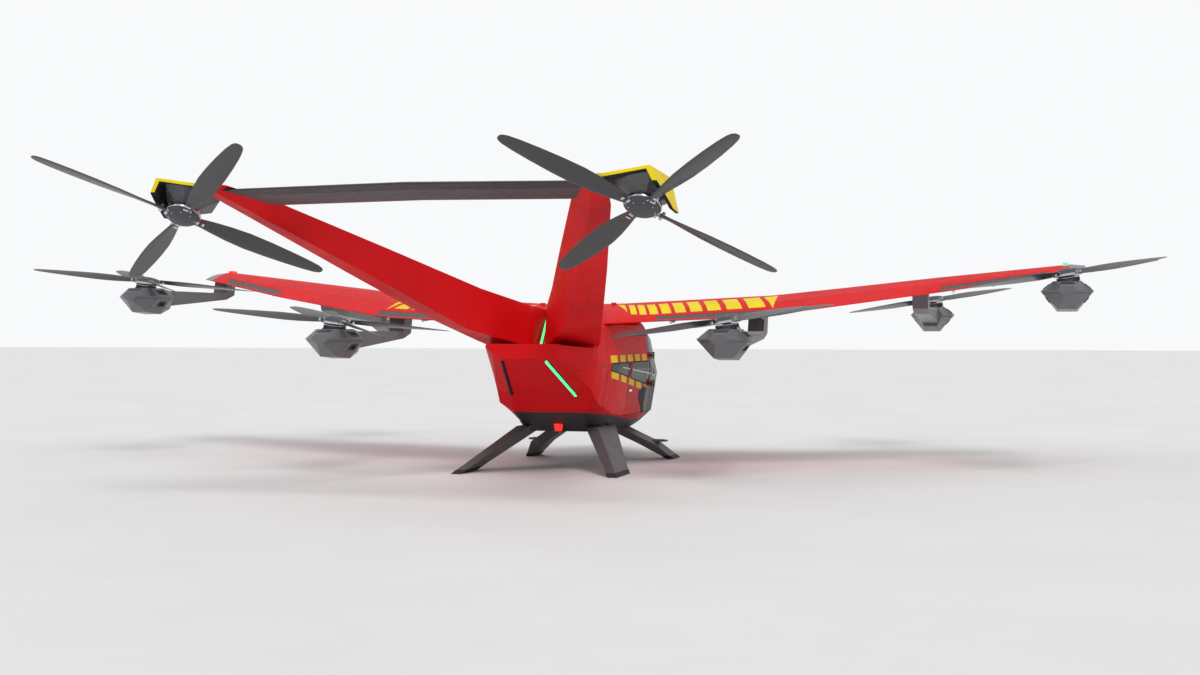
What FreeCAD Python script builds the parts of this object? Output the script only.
"""Electric vertical take-off aircraft: a cabin pod under a forward-swept wing, a V tail and eight rotors.

Frame: +X starboard, +Y forward (nose), +Z up, floor at Z 0. All sizes in millimetres.
"""
import FreeCAD, Part
import math
import os

V = FreeCAD.Vector

# Overall placing: stations are measured from the wing-tip rotor line, and moved so that
# the whole aircraft is centred on the origin.
STATION_SHIFT = 690.0

# Cabin and fuselage
SKIN = 40.0                 # thickness of every fuselage wall and door
DOOR_GAP = 8.0              # running gap round a door
# Half sections, rear to nose: station, then x and z of top, shoulder, waist, sill and keel edges
FUSELAGE = (
    (-1950, 400, 1478, 430, 1464, 432, 1445, 350, 1380, 250, 1310),
    (-1290, 420, 1440, 620, 1425, 620, 1300, 530, 1020, 366, 950),
    (-1180, 428, 1575, 617, 1517, 648, 1284, 560, 960, 385, 890),
    (-1000, 440, 1795, 615, 1660, 660, 1260, 585, 790, 415, 700),
    (-400, 480, 1850, 645, 1690, 700, 1200, 610, 640, 430, 430),
    (1000, 480, 1860, 640, 1680, 700, 1150, 610, 570, 430, 395),
    (1700, 420, 1700, 560, 1500, 645, 1080, 565, 600, 400, 450),
    (2350, 280, 1330, 400, 1210, 470, 980, 420, 690, 300, 590),
    (2850, 110, 1030, 170, 980, 200, 890, 180, 800, 120, 760),
)
CABIN_REAR = -780.0         # face of the rear bulkhead
BULKHEAD = 30.0             # its thickness
CABIN_FRONT = 2650.0        # foremost inside of the nose
FLOOR_TOP = 560.0
FLOOR_THICK = 25.0
ROOF_EDGE_Z = 1660.0        # side skins stop here, the roof starts
PAN_LINE = ((-2600, 680), (-950, 680), (600, 535), (1300, 500), (3200, 500))  # top of the dark belly pan
TAIL_SPLIT = -820.0         # joint of tail cone and cabin
FRONT_SPLIT = 1290.0        # rear edge of windscreen and nose
NOSE_TOP_Z = 930.0          # sill of the windscreen

# Doors and side windows
DOOR_REAR = 120.0
DOOR_FRONT = 1230.0
DOOR_BOTTOM = 600.0
DOOR_TOP = 1560.0
WINDOW_TOP = 1240.0
WINDOW_REAR = -690.0
WINDOW_FRONT = 1130.0
WINDOW_REAR_BOTTOM = 1160.0
WINDOW_FRONT_BOTTOM = 935.0
WINDOW_FRAME = 45.0         # frame left between door edge and its window
HINGE_X = 708.0             # door hinge line
HINGE_Y = 1248.0
HINGE_Z = (960.0, 1310.0)   # two hinges on each door
HINGE_PIN_R = 6.0
HINGE_PLAY = 0.06
HINGE_KNUCKLE_R = 11.0
HINGE_KNUCKLE_HIGH = 44.0
HINGE_SPACE = 7.0           # between knuckle and lug
HINGE_LUG_HIGH = 10.0
HINGE_LUG_IN = 622.0        # lugs and straps reach in to here

# Wing: spanwise x, then trailing edge y z, leading edge y z, thickness ratio
WING = (
    (0, -780, 1690, 1250, 1800, 0.12),
    (560, -760, 1700, 1250, 1810, 0.12),
    (2300, -300, 1780, 1720, 1920, 0.12),
    (4200, 700, 2060, 2060, 2200, 0.11),
    (5800, 1800, 2320, 2620, 2410, 0.10),
    (5980, 1990, 2345, 2600, 2420, 0.06),
)
FLAP_CHORD = 190.0
FLAP_BEHIND = 400.0         # the cutting block of a flap reaches this far behind the trailing edge
WING_LOW = 1000.0           # and from here up through the whole wing
WING_HIGH = 3000.0
FLAPS = (("inner", 1150, 2500), ("outer", 4300, 5500))
HOIST_X = 450.0             # hoist sockets on top of the wing root
HOIST_Y = 250.0
HOIST_TOP = 1962.0
HOIST_BOSS_R = 32.0
HOIST_R = 12.0
HOIST_DEEP = 40.0

# Rotors: name, hub x, y, z, boom joint y on the wing
ROTOR_R = 1430.0
WING_ROTORS = (
    ("inboard", 2250, -1880, 1735, 120),
    ("mid", 4000, 3900, 2040, 1800),
    ("tip", 5750, 0, 2265, 2150),
)
WING_LEAN = 8.5             # rotor axes lean inboard at the top, in degrees
WING_AFT = 1.5
TAIL_HUB = (2200, -5410, 2690)
TAIL_TILT = 30.7            # tail rotor axis points aft and down
TAIL_LEAN = 2.5
HUB_R = 165.0
HUB_HIGH = 70.0
BLADES = 4
PHASE_WING = 44.0
PHASE_TAIL = 47.0
# Blade sections: radius share, chord, thickness, pitch in degrees
BLADE = (
    (0.075, 70, 34, 30),
    (0.20, 120, 24, 26),
    (0.45, 205, 20, 19),
    (0.75, 185, 15, 13),
    (0.96, 120, 9, 9),
    (1.0, 60, 6, 8),
)
SHAFT_R = 45.0
SHAFT_PLAY = 0.06

# Rotor pods in their own frame, hub at 0, +y towards the boom
# y, half width and z of deck, chine and keel
POD = (
    (-420, 60, -150, 110, -200, 30, -260),
    (-190, 150, -95, 285, -205, 100, -405),
    (150, 150, -95, 285, -205, 110, -430),
    (420, 105, -125, 160, -205, 90, -360),
)
MOTOR_R = 120.0
MOTOR_HIGH = 90.0
MOTOR_SPACE = 7.0           # between hub and motor
BOOM_W = 190.0
BOOM_TOP = -120.0
BOOM_DEEP = 150.0

# V tail arms: station, then x and z of inner top, inner bottom, outer bottom, outer top edges
ARM = (
    (-1000, 0, 1860, 0, 1480, 590, 1400, 560, 1760),
    (-1350, 90, 1905, 60, 1430, 720, 1500, 610, 1830),
    (-2170, 400, 2080, 540, 1630, 965, 1740, 780, 2040),
    (-3500, 890, 2440, 1060, 2150, 1375, 2210, 1240, 2460),
    (-5000, 1450, 2840, 1620, 2700, 1815, 2740, 1740, 2870),
    (-5560, 1670, 2950, 1780, 2890, 1930, 2910, 1860, 2975),
)
# Stabiliser between the arms: half span x, trailing edge y z, leading edge y z, thickness ratio
STABILISER = (
    (0, -5530, 2930, -4890, 2850, 0.17),
    (1790, -5530, 2905, -4900, 2825, 0.16),
)
# Cowl over each tail nacelle: station, then x and z of inboard edge, outboard top corner, low edge
COWL = (
    (-5660, 1780, 2945, 2326, 3025, 2474, 2700),
    (-4950, 1800, 2945, 2350, 2975, 2420, 2660),
)
COWL_WALL = 32.0
SWEEP_CLEAR = 52.0          # room kept on both sides of a rotor's plane
SWEEP_OVER = 60.0           # and beyond its blade tips
# Tail nacelle in its rotor's frame: height, then half width and half length
NACELLE = ((-330, 285, 290), (-220, 275, 290), (-110, 140, 150), (-55, 110, 110))

# Landing legs, foot to root: x, y and z of the ring's centre, its width along y and thickness along x
LEGS = (
    ("rear", ((920, -1300, 0, 580, 100), (420, -250, 500, 800, 150))),
    ("front", ((935, 1400, 0, 350, 90), (700, 1050, 215, 380, 200), (300, 750, 450, 420, 200))),
)
# Boarding step on each front leg: outline in x and y, and its height and thickness
STEP = ((600, 900), (900, 1080), (915, 1160), (800, 1240), (640, 1180))
STEP_Z = 226.0
STEP_THICK = 22.0

# Lamps
LED_UP = ((0, -1020, 1772), (0, -1270, 1466))
LED_LOW = ((384, -1185, 884), (256, -1917, 1284))
LED_WIDE = 22.0
BEACON = (0, -590, 530)
BEACON_R = 55.0
BEACON_HIGH = 90.0
NAV_LAMP = (5740, 2330, 2430)
NAV_SIZE = (60, 130, 80)

# Furniture and masses
SEAT_W = 480.0
SEAT_D = 470.0
SEAT_ROWS = (("rear", -560), ("front", 560))
SEAT_HIGH = 240.0
SEAT_PAD = 120.0
SEAT_BACK_TOP = 900.0
SEAT_X = 290.0
BATTERY = (900.0, 1500.0, 110.0)
BATTERY_Y = 100.0


def at(x, y, z):
    """A point from frame x, station y and height z."""
    return V(x, y + STATION_SHIFT, z)


def ring(points):
    """Closed wire through points."""
    return Part.makePolygon(list(points) + [points[0]])


def loft(wires):
    """Solid with straight lines from each section to the next."""
    solid = Part.makeLoft(wires, True, True)
    if solid.Volume < 0:
        solid.reverse()
    return solid


def prism(profile, x0, x1):
    """Side profile of (station, z) pairs, from x0 to x1."""
    face = Part.Face(ring([at(x0, y, z) for y, z in profile]))
    return face.extrude(V(x1 - x0, 0, 0))


def block(x0, x1, y0, y1, z0, z1):
    return Part.makeBox(x1 - x0, y1 - y0, z1 - z0, at(x0, y0, z0))


def mirror(shape):
    return shape.mirror(V(0, 0, 0), V(1, 0, 0))


def both(shape):
    return {"right": shape, "left": mirror(shape)}


def fuse(shapes):
    first = shapes[0]
    return first.fuse(list(shapes[1:])).removeSplitter()


def fuselage_ring(row, inset=0.0):
    """One fuselage section, every edge moved inwards by inset."""
    y = row[0]
    half = [(row[i] - inset, row[i + 1]) for i in range(1, 11, 2)]
    top, low = row[2], row[10]
    half = [(max(x, 12.0), min(max(z, low + inset), top - inset)) for x, z in half]
    points = [at(x, y, z) for x, z in half] + [at(-x, y, z) for x, z in reversed(half)]
    return ring(points)


def row_at(y):
    """The fuselage row at any station, between two rows of the table."""
    for a, b in zip(FUSELAGE[:-1], FUSELAGE[1:]):
        if a[0] <= y <= b[0]:
            t = (y - a[0]) / (b[0] - a[0])
            return tuple(p + (q - p) * t for p, q in zip(a, b))
    raise ValueError("station outside the fuselage")


def make_fuselage():
    outer = loft([fuselage_ring(row) for row in FUSELAGE])
    inside = [row_at(TAIL_SPLIT)] + [r for r in FUSELAGE if TAIL_SPLIT < r[0] < CABIN_FRONT]
    inside.append(row_at(CABIN_FRONT))
    inner = loft([fuselage_ring(row, SKIN) for row in inside])
    return outer, inner, outer.cut(inner)


def pan_region():
    low = [(PAN_LINE[-1][0], 0), (PAN_LINE[0][0], 0)]
    return prism(list(PAN_LINE) + low, -1000, 1000)


def door_region(gap=0.0):
    return block(300, 1000, DOOR_REAR - gap, DOOR_FRONT + gap, DOOR_BOTTOM - gap, DOOR_TOP + gap)


def hinge_leaf(x0, x1, y0, y1, z, high):
    return block(x0, x1, y0, y1, z - high / 2, z + high / 2)


def door_hinge(z):
    """Lugs and pin that stay on the side skin, and the knuckle and strap that ride on the door."""
    full = HINGE_KNUCKLE_HIGH + 2 * (HINGE_SPACE + HINGE_LUG_HIGH)
    pin = Part.makeCylinder(HINGE_PIN_R, full, at(HINGE_X, HINGE_Y, z - full / 2))
    lug_z = (full - HINGE_LUG_HIGH) / 2
    lug_y0 = DOOR_FRONT + DOOR_GAP + 1
    lug_x1 = HINGE_X + HINGE_KNUCKLE_R
    lug_y1 = HINGE_Y + HINGE_KNUCKLE_R
    lugs = [hinge_leaf(HINGE_LUG_IN, lug_x1, lug_y0, lug_y1, z + s * lug_z, HINGE_LUG_HIGH) for s in (-1, 1)]
    low = z - HINGE_KNUCKLE_HIGH / 2
    knuckle = Part.makeCylinder(HINGE_KNUCKLE_R, HINGE_KNUCKLE_HIGH, at(HINGE_X, HINGE_Y, low))
    strap_in = HINGE_X - HINGE_KNUCKLE_R
    strap_out = HINGE_X + 4
    strap = hinge_leaf(strap_in, strap_out, DOOR_FRONT - 75, HINGE_Y, z, HINGE_KNUCKLE_HIGH)
    root = hinge_leaf(HINGE_LUG_IN, strap_out, DOOR_FRONT - 75, DOOR_FRONT - 12, z, HINGE_KNUCKLE_HIGH)
    bore = Part.makeCylinder(HINGE_PIN_R + HINGE_PLAY, full, at(HINGE_X, HINGE_Y, z - full / 2))
    return fuse([pin] + lugs), fuse([knuckle, strap, root]).cut(bore)


def window_bottom(y):
    t = (y - WINDOW_REAR) / (WINDOW_FRONT - WINDOW_REAR)
    return WINDOW_REAR_BOTTOM + (WINDOW_FRONT_BOTTOM - WINDOW_REAR_BOTTOM) * t


def window_region(y0, y1):
    """Wedge of side glass between two stations."""
    profile = [(y0, window_bottom(y0)), (y1, window_bottom(y1)), (y1, WINDOW_TOP), (y0, WINDOW_TOP)]
    return prism(profile, 300, 1000)


def make_cabin():
    """Fuselage skins, doors and glass, each its own solid."""
    outer, inner, shell = make_fuselage()
    pieces = {}
    pan = pan_region()
    tail = block(-1000, 1000, -2600, TAIL_SPLIT, 0, 2200)
    nose_zone = block(-1000, 1000, FRONT_SPLIT, 3200, 0, 2200)
    cabin_zone = block(-1000, 1000, TAIL_SPLIT, FRONT_SPLIT, 0, 2200)
    roof_zone = block(-1000, 1000, TAIL_SPLIT, FRONT_SPLIT, ROOF_EDGE_Z, 2200)
    pieces["tail_cone"] = outer.common(tail).cut(pan)
    pieces["belly_pan"] = shell.common(pan).cut(nose_zone)
    front = shell.common(nose_zone)
    sill = block(-1000, 1000, FRONT_SPLIT, 3200, 0, NOSE_TOP_Z)
    pieces["nose_skin"] = front.common(sill)
    pieces["windscreen"] = front.cut(sill)
    above_pan = shell.common(cabin_zone).cut(pan)
    pieces["roof_skin"] = above_pan.common(roof_zone)
    side = above_pan.cut(roof_zone).common(block(0, 1000, -2600, 3200, 0, 2200))
    opening = door_region(DOOR_GAP)
    rear_glass = window_region(WINDOW_REAR, DOOR_REAR - DOOR_GAP - WINDOW_FRAME)
    door_glass = window_region(DOOR_REAR + WINDOW_FRAME, WINDOW_FRONT)
    door = side.common(door_region())
    skin = side.cut(opening)
    hinges = [door_hinge(z) for z in HINGE_Z]
    for name, shape in (
        ("side_skin", fuse([skin.cut(rear_glass)] + [fixed for fixed, moving in hinges])),
        ("rear_window", skin.common(rear_glass)),
        ("door", fuse([door.cut(door_glass)] + [moving for fixed, moving in hinges])),
        ("door_window", door.common(door_glass)),
    ):
        for hand, piece in both(shape).items():
            pieces[name + "_" + hand] = piece
    floor = block(-1000, 1000, CABIN_REAR, 2200, FLOOR_TOP - FLOOR_THICK, FLOOR_TOP)
    bulkhead = block(-1000, 1000, CABIN_REAR - BULKHEAD, CABIN_REAR, FLOOR_TOP - FLOOR_THICK, 2200)
    pieces["cabin_floor"] = inner.common(floor)
    pieces["rear_bulkhead"] = inner.common(bulkhead)
    return pieces, outer, inner


def airfoil(y_te, z_te, y_le, z_le, ratio, x):
    """Wing section ring: upper and lower sides at fixed chord shares, blunt trailing edge."""
    chord = y_le - y_te
    shares = (0.0, 0.06, 0.22, 0.45, 0.72, 1.0)
    upper, lower = [], []
    for s in shares:
        thick = 5 * ratio * chord * (
            0.2969 * math.sqrt(s) - 0.126 * s - 0.3516 * s ** 2 + 0.2843 * s ** 3 - 0.1015 * s ** 4
        )
        camber = 0.04 * chord * 4 * s * (1 - s)
        y = y_le - chord * s
        z = z_le + (z_te - z_le) * s + camber
        thick = max(thick, 4.0)
        upper.append(at(x, y, z + thick))
        if s > 0:
            lower.append(at(x, y, z - thick))
    return ring(upper + list(reversed(lower)))


def wing_row(x):
    for a, b in zip(WING[:-1], WING[1:]):
        if a[0] <= x <= b[0]:
            t = (x - a[0]) / (b[0] - a[0])
            return tuple(p + (q - p) * t for p, q in zip(a, b))
    raise ValueError("x outside the wing")


def wing_section(row):
    x, y_te, z_te, y_le, z_le, ratio = row
    return airfoil(y_te, z_te, y_le, z_le, ratio, x)


def make_wing(fuselage):
    """Two wing halves with their hoist sockets, and the flaps."""
    half = loft([wing_section(row) for row in WING])
    pieces = {}
    panel = half.cut(fuselage)
    for name, x0, x1 in FLAPS:
        zone = flap_zone(x0, x1)
        for hand, piece in both(half.common(zone)).items():
            pieces[name + "_flap_" + hand] = piece
        panel = panel.cut(zone)
    boss = Part.makeCylinder(HOIST_BOSS_R, 150, at(HOIST_X, HOIST_Y, HOIST_TOP - 150))
    socket = Part.makeCylinder(HOIST_R, HOIST_DEEP, at(HOIST_X, HOIST_Y, HOIST_TOP - HOIST_DEEP))
    panel = fuse([panel, boss.cut(fuselage)]).cut(socket)
    for hand, piece in both(panel).items():
        pieces["wing_" + hand] = piece
    return pieces, half


def flap_zone(x0, x1):
    """Everything behind the flap's hinge line, between x0 and x1."""
    a, b = wing_row(x0), wing_row(x1)
    corners = [
        at(x0, a[1] + FLAP_CHORD, WING_LOW),
        at(x1, b[1] + FLAP_CHORD, WING_LOW),
        at(x1, b[1] - FLAP_BEHIND, WING_LOW),
        at(x0, a[1] - FLAP_BEHIND, WING_LOW),
    ]
    return Part.Face(ring(corners)).extrude(V(0, 0, WING_HIGH - WING_LOW))


def blade(radius):
    """One blade along +x of the rotor's own frame."""
    wires = []
    for share, chord, thick, pitch in BLADE:
        r = radius * share
        c, s = math.cos(math.radians(pitch)), math.sin(math.radians(pitch))
        outline = ((0.5, 0), (0.28, 0.5), (-0.15, 0.36), (-0.5, 0), (-0.15, -0.3), (0.28, -0.42))
        points = []
        for u, w in outline:
            p, q = u * chord, w * thick
            points.append(V(r, p * c - q * s, p * s + q * c))
        wires.append(ring(points))
    return loft(wires)


def rotor(phase):
    """Hub and blades about +z, blade plane at z 0."""
    hub_profile = [
        V(SHAFT_R + SHAFT_PLAY, 0, -HUB_HIGH * 0.5),
        V(HUB_R, 0, -HUB_HIGH * 0.5),
        V(HUB_R, 0, 0),
        V(HUB_R * 0.82, 0, HUB_HIGH * 0.42),
        V(HUB_R * 0.45, 0, HUB_HIGH * 0.68),
        V(0, 0, HUB_HIGH * 0.75),
        V(0, 0, HUB_HIGH * 0.2),
        V(SHAFT_R + SHAFT_PLAY, 0, HUB_HIGH * 0.2),
    ]
    hub = Part.Face(Part.makePolygon(hub_profile + [hub_profile[0]])).revolve(V(0, 0, 0), V(0, 0, 1), 360)
    one = blade(ROTOR_R)
    parts = [hub]
    for k in range(BLADES):
        turned = one.copy()
        turned.rotate(V(0, 0, 0), V(0, 0, 1), phase + 360.0 / BLADES * k)
        parts.append(turned)
    bore = Part.makeCylinder(SHAFT_R + SHAFT_PLAY, HUB_HIGH * 0.7, V(0, 0, -HUB_HIGH * 0.5))
    return fuse(parts).cut(bore)


def pose(shape, hub, lean, aft, flip=False):
    """Moves a shape from a rotor's own frame to its hub, leaning inboard and aft."""
    moved = shape.copy()
    if flip:
        moved.rotate(V(0, 0, 0), V(1, 0, 0), 180)
    moved.rotate(V(0, 0, 0), V(1, 0, 0), aft)
    moved.rotate(V(0, 0, 0), V(0, 1, 0), -lean)
    moved.translate(at(*hub))
    return moved


def motor_stack():
    """Motor can and shaft under the hub, in the rotor's own frame."""
    top = -HUB_HIGH * 0.5 - MOTOR_SPACE
    motor = Part.makeCylinder(MOTOR_R, MOTOR_HIGH, V(0, 0, top - MOTOR_HIGH))
    shaft = Part.makeCylinder(SHAFT_R, MOTOR_HIGH - top + HUB_HIGH * 0.15, V(0, 0, top - MOTOR_HIGH))
    return fuse([motor, shaft])


def pod_body(hub, ahead):
    """Faceted pod, level, below a wing rotor's hub."""
    x, y, z = hub
    wires = []
    for v, xd, zd, xc, zc, xk, zk in POD:
        half = ((xd, zd), (xc, zc), (xk, zk), (-xk, zk), (-xc, zc), (-xd, zd))
        wires.append(ring([at(x + a, y + v * ahead, z + b) for a, b in half]))
    return loft(wires)


def boom(hub, joint_y, ahead, wing):
    """Arm from the pod to the underside of the wing, as a side profile."""
    x, y, z = hub
    y0, y1 = y + 250 * ahead, joint_y
    z_top, z_low = z + BOOM_TOP, z + BOOM_TOP - BOOM_DEEP
    row = wing_row(x)
    z_wing = min(row[2], row[4]) + 60
    profile = [
        (y0, z_top),
        (y1 - 200 * ahead, z_top),
        (y1 - 130 * ahead, z_wing),
        (y1 + 120 * ahead, z_wing),
        (y1 + 60 * ahead, z_low + 125),
        (y1 - 180 * ahead, z_low + 60),
        (y0, z_low - 60),
    ]
    return prism(profile, x - BOOM_W / 2, x + BOOM_W / 2).cut(wing)


def make_rotors(wing):
    pieces = {}
    for name, x, y, z, joint_y in WING_ROTORS:
        hub = (x, y, z)
        ahead = 1 if joint_y > y else -1
        motor = pose(motor_stack(), hub, WING_LEAN, WING_AFT)
        pod = fuse([pod_body(hub, ahead), motor, boom(hub, joint_y, ahead, wing)])
        for hand, piece in both(pod).items():
            pieces[name + "_pod_" + hand] = piece
        turning = pose(rotor(PHASE_WING), hub, WING_LEAN, WING_AFT)
        for hand, piece in both(turning).items():
            pieces[name + "_rotor_" + hand] = piece
    turning = pose(rotor(PHASE_TAIL), TAIL_HUB, -TAIL_LEAN, -TAIL_TILT, flip=True)
    for hand, piece in both(turning).items():
        pieces["tail_rotor_" + hand] = piece
    return pieces


def make_tail(fuselage):
    wires = []
    for y, xa, za, xb, zb, xc, zc, xd, zd in ARM:
        wires.append(ring([at(xa, y, za), at(xb, y, zb), at(xc, y, zc), at(xd, y, zd)]))
    arm = loft(wires).cut(fuselage)
    arm = max(arm.Solids, key=lambda solid: solid.Volume)
    half = loft([wing_section(row) for row in STABILISER])
    bar = half.fuse(mirror(half)).removeSplitter().cut(arm).cut(mirror(arm))
    bar = min(bar.Solids, key=lambda solid: abs(solid.CenterOfMass.x))
    cowl, room = tail_cowl()
    cowl = cowl.cut(arm).cut(tail_sweep())
    cowl = max(cowl.Solids, key=lambda solid: solid.Volume)
    bar = bar.cut(cowl).cut(mirror(cowl))
    nacelle = tail_nacelle(room).cut(arm)
    pieces = {"stabiliser": bar}
    for name, shape in (("tail_arm", arm), ("tail_pod", nacelle), ("tail_cowl", cowl)):
        for hand, piece in both(shape).items():
            pieces[name + "_" + hand] = piece
    return pieces


def tail_sweep():
    """The room that the right tail rotor turns in."""
    disc = Part.makeCylinder(ROTOR_R + SWEEP_OVER, 2 * SWEEP_CLEAR, V(0, 0, -SWEEP_CLEAR))
    return pose(disc, TAIL_HUB, -TAIL_LEAN, -TAIL_TILT, flip=True)


def tail_nacelle(room):
    """Faceted bowl from the cowl down to the motor, kept inside the room under the cowl."""
    wires = []
    for z, half_wide, half_long in NACELLE:
        right = [(half_wide, half_long * 0.4), (half_wide * 0.4, half_long)]
        right += [(-x, y) for x, y in reversed(right)]
        whole = right + [(-x, -y) for x, y in right]
        wires.append(ring([V(x, y, z) for x, y in whole]))
    bowl = pose(loft(wires), TAIL_HUB, -TAIL_LEAN, -TAIL_TILT, flip=True).common(room)
    motor = pose(motor_stack(), TAIL_HUB, -TAIL_LEAN, -TAIL_TILT, flip=True)
    return fuse([bowl, motor])


def tail_cowl():
    """Bent plate over the top and the outboard side of the tail nacelle, and the room under it."""
    plate = []
    room = []
    for y, xi, zi, xo, zo, xl, zl in COWL:
        under = (at(xi, y, zi - COWL_WALL), at(xo - COWL_WALL, y, zo - COWL_WALL), at(xl - COWL_WALL, y, zl))
        plate.append(ring([at(xi, y, zi), at(xo, y, zo), at(xl, y, zl)] + list(reversed(under))))
        room.append(ring(list(under) + [at(xl - COWL_WALL, y, zl - 700), at(xi, y, zl - 700)]))
    return loft(plate), loft(room)


def leg_ring(x, y, z, wide, thick):
    return ring([at(x + a * thick / 2, y + b * wide / 2, z) for a, b in ((-1, -1), (1, -1), (1, 1), (-1, 1))])


def make_legs(fuselage):
    """Four splayed leg blades; the front ones carry a boarding step."""
    pieces = {}
    for name, rings in LEGS:
        spans = [loft([leg_ring(*low), leg_ring(*high)]) for low, high in zip(rings[:-1], rings[1:])]
        leg = fuse(spans) if len(spans) > 1 else spans[0]
        if name == "front":
            step = Part.Face(ring([at(x, y, STEP_Z) for x, y in STEP])).extrude(V(0, 0, STEP_THICK))
            leg = fuse([leg, step])
        leg = leg.cut(fuselage)
        leg = max(leg.Solids, key=lambda solid: solid.Volume)
        for hand, piece in both(leg).items():
            pieces["leg_" + name + "_" + hand] = piece
    return pieces


def strip(start, end):
    """Square bar between two points."""
    a, b = at(*start), at(*end)
    bar = Part.makeBox(LED_WIDE, LED_WIDE, (b - a).Length, V(-LED_WIDE / 2, -LED_WIDE / 2, 0))
    bar.Placement = FreeCAD.Placement(a, FreeCAD.Rotation(V(0, 0, 1), b - a))
    return bar


def make_lamps(solids):
    """Light strips, beacon and tip lamps, set into what carries them."""
    x, y, z = BEACON
    beacon = Part.makeCone(BEACON_R * 0.7, BEACON_R, BEACON_HIGH, at(x, y, z - BEACON_HIGH))
    nx, ny, nz = NAV_LAMP
    dx, dy, dz = (size / 2 for size in NAV_SIZE)
    nav = block(nx - dx, nx + dx, ny - dy, ny + dy, nz - dz, nz + dz)
    low = strip(*LED_LOW)
    lamps = {
        "led_strip_upper": strip(*LED_UP),
        "led_strip_lower_right": low,
        "led_strip_lower_left": mirror(low),
        "beacon": beacon,
        "nav_lamp_right": nav,
        "nav_lamp_left": mirror(nav),
    }
    pieces = {}
    for name, lamp in lamps.items():
        for solid in solids:
            lamp = lamp.cut(solid)
        pieces[name] = max(lamp.Solids, key=lambda piece: piece.Volume)
    return pieces


def seat(x, y):
    """Base, cushion and leaning back of one seat, its front towards the nose."""
    x0, x1 = x - SEAT_W / 2, x + SEAT_W / 2
    top = FLOOR_TOP + SEAT_HIGH
    base = block(x - SEAT_W * 0.3, x + SEAT_W * 0.3, y + 60, y + SEAT_D - 60, FLOOR_TOP, top - SEAT_PAD)
    cushion = block(x0, x1, y - 10, y + SEAT_D, top - SEAT_PAD, top)
    back_top = FLOOR_TOP + SEAT_BACK_TOP
    back = prism([(y - 10, top), (y + 90, top), (y - 60, back_top), (y - 130, back_top)], x0, x1)
    return fuse([base, cushion, back])


def make_interior(inner):
    pieces = {}
    for label, y in SEAT_ROWS:
        for hand, piece in both(seat(SEAT_X, y)).items():
            pieces["seat_" + label + "_" + hand] = piece
    wide, long, high = BATTERY
    low = FLOOR_TOP - FLOOR_THICK - high
    battery = block(-wide / 2, wide / 2, BATTERY_Y - long / 2, BATTERY_Y + long / 2, low, low + high)
    pieces["battery_pack"] = battery.common(inner)
    panel = prism([(1780, FLOOR_TOP), (1850, FLOOR_TOP), (1900, 900), (1650, 960), (1640, 900)], -420, 420)
    pieces["instrument_panel"] = panel.common(inner)
    return pieces


def build():
    cabin, outer, inner = make_cabin()
    pieces = dict(cabin)
    wing_pieces, half_wing = make_wing(outer)
    pieces.update(wing_pieces)
    pieces.update(make_rotors(half_wing))
    tail_pieces = make_tail(outer)
    pieces.update(tail_pieces)
    pieces.update(make_legs(outer))
    pieces.update(make_interior(inner))
    arms = [tail_pieces["tail_arm_right"], tail_pieces["tail_arm_left"]]
    pieces.update(make_lamps([outer, half_wing, mirror(half_wing)] + arms))
    return pieces


def main():
    os.makedirs("parts", exist_ok=True)
    pieces = build()
    box = FreeCAD.BoundBox()
    for name, shape in sorted(pieces.items()):
        solids = [s for s in shape.Solids if s.Volume > 1000.0]
        whole = Part.makeCompound(solids) if len(solids) > 1 else solids[0]
        whole.exportStep("parts/" + name + ".step")
        box.add(whole.BoundBox)
        print(name, len(solids), round(whole.Volume / 1e6, 2), "dm3", whole.isValid())
    print("box", [round(v) for v in (box.XMin, box.XMax, box.YMin, box.YMax, box.ZMin, box.ZMax)])


main()
